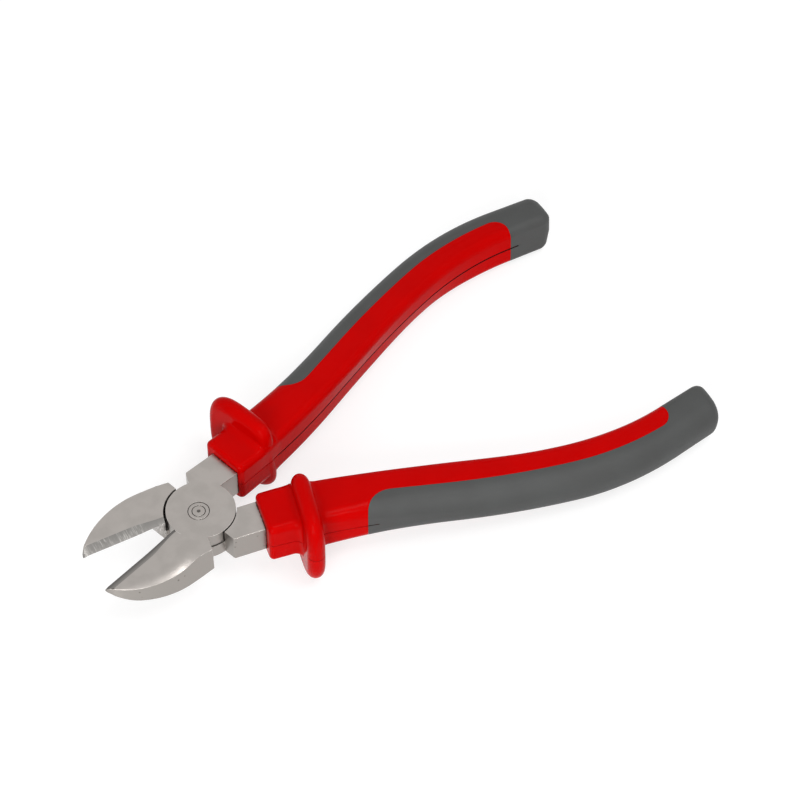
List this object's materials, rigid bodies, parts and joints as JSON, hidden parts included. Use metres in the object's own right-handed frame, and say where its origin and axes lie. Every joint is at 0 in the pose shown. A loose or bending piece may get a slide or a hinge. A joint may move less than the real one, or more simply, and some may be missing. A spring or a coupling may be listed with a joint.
{
  "type": "diagonal cutting pliers",
  "caption": "Compact diagonal cutting pliers with a steel lap joint, flush pivot, bevelled jaws and bowed two-colour handles with oval finger guards.",
  "frame": {"origin": "on the pivot axis, at the back face of the head (the plain flush end of the rivet)", "axes": "+X from the pivot towards the handles, +Y towards the rear handle, +Z out of the head's top face along the pivot"},
  "size_m": [0.1541, 0.09, 0.0246],
  "materials": {
    "lever_steel": "satin ground",
    "rivet_steel": "ground flush",
    "red_sleeve": "glossy moulded",
    "grey_grip": "matte soft"
  },
  "bodies": {
    "front_handle_lever": {"rear_jaw_lever": "lever_steel", "front_handle_sleeve": "red_sleeve", "front_handle_grip": "grey_grip", "pivot_rivet": "rivet_steel", "rivet_collar": "rivet_steel"},
    "rear_handle_lever": {"front_jaw_lever": "lever_steel", "rear_handle_sleeve": "red_sleeve", "rear_handle_grip": "grey_grip"}
  },
  "joints": [
    {"name": "pivot_hinge", "type": "hinge", "parent": "front_handle_lever", "child": "rear_handle_lever", "pos_m": [0, 0, 0.004], "axis": [0, 0, 1], "range_deg": [-21.2, 22]}
  ]
}
